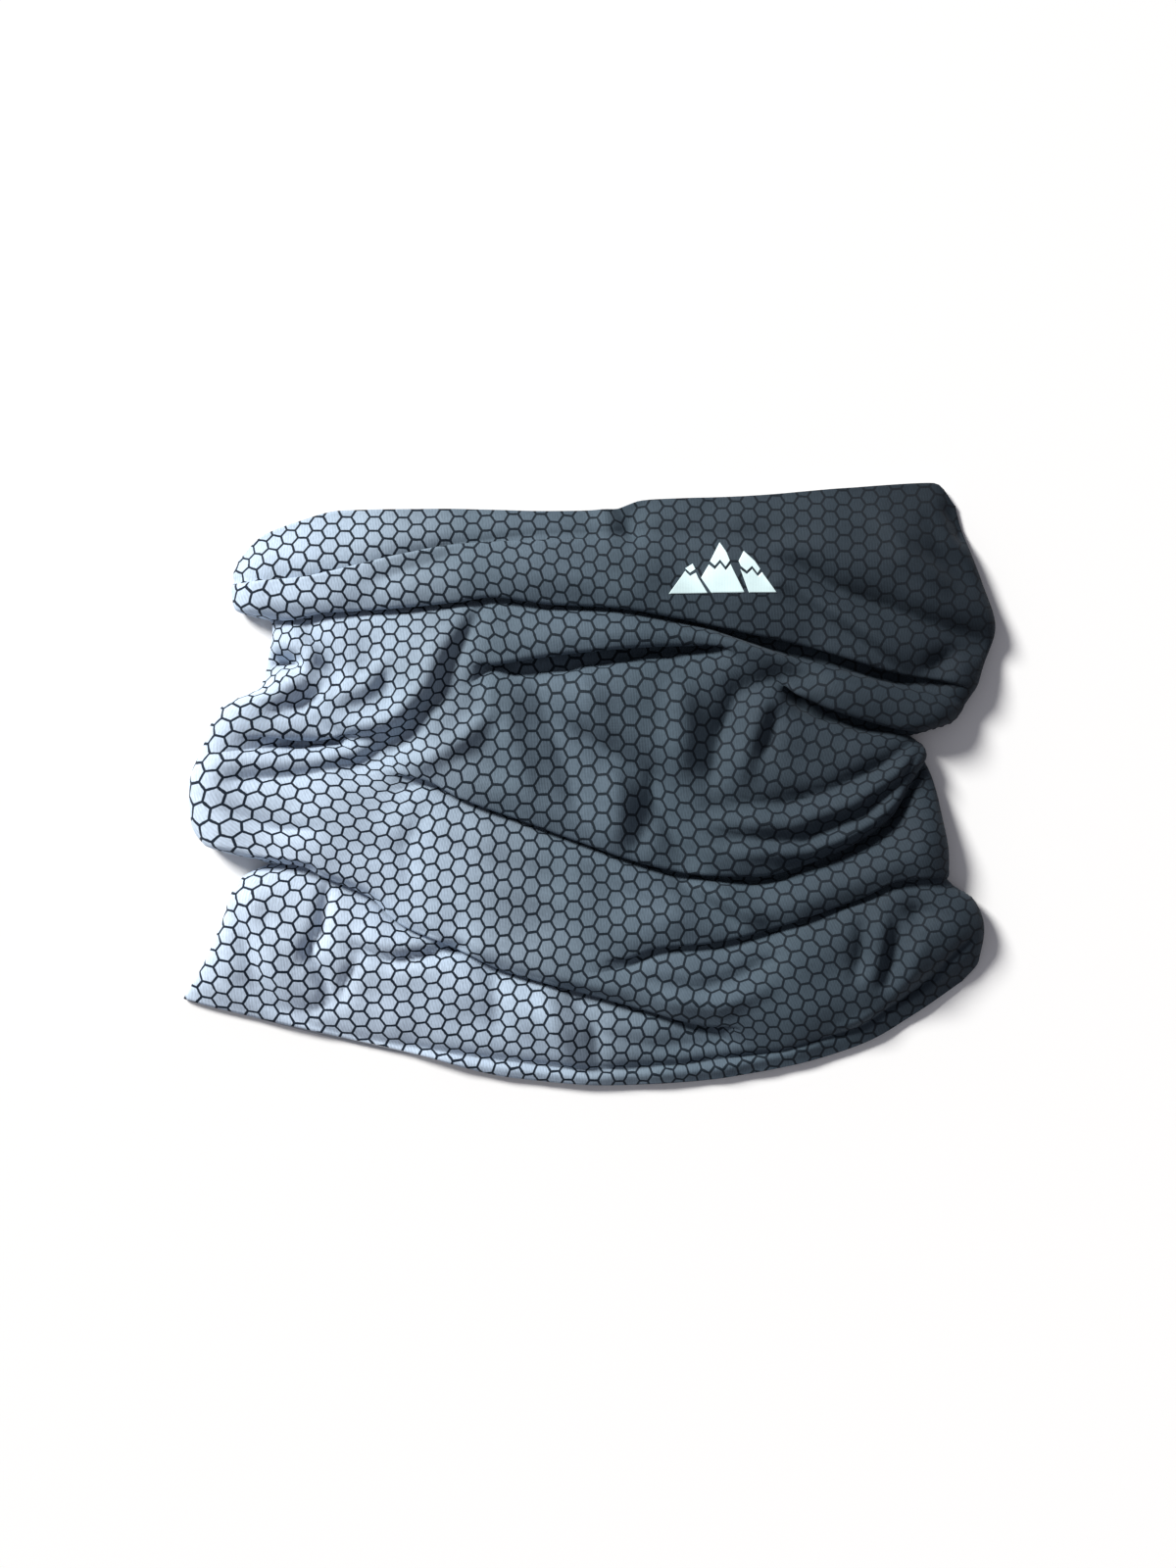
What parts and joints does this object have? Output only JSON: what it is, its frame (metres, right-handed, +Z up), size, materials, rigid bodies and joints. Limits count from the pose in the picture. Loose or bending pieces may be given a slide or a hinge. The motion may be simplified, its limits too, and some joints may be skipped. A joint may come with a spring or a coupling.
{
  "type": "neck gaiter",
  "caption": "Printed knit neck tube, open at both ends, laid flat and gathered into soft bands, with a side seam, a small label inside and a pressed peak emblem.",
  "frame": {"origin": "middle of the rectangle that the laid gaiter covers, on the surface it rests on", "axes": "+X across the tube towards the side seam, +Y towards the top opening, +Z up from the surface"},
  "size_m": [0.248, 0.1854, 0.0163],
  "materials": {
    "printed_knit": "matt brushed jersey with a fine hexagon print that fades from near white to charcoal",
    "seam_thread": "matt textured thread",
    "woven_label": "blank satin weave",
    "pressed_film": "thin soft film, slightly satin"
  },
  "bodies": {
    "root": {"gaiter_tube": "printed_knit", "seam_outer_thread": "seam_thread", "seam_inner_thread": "seam_thread", "care_label": "woven_label", "emblem_left_peak": "pressed_film", "emblem_main_peak": "pressed_film", "emblem_right_peak": "pressed_film"}
  },
  "joints": []
}
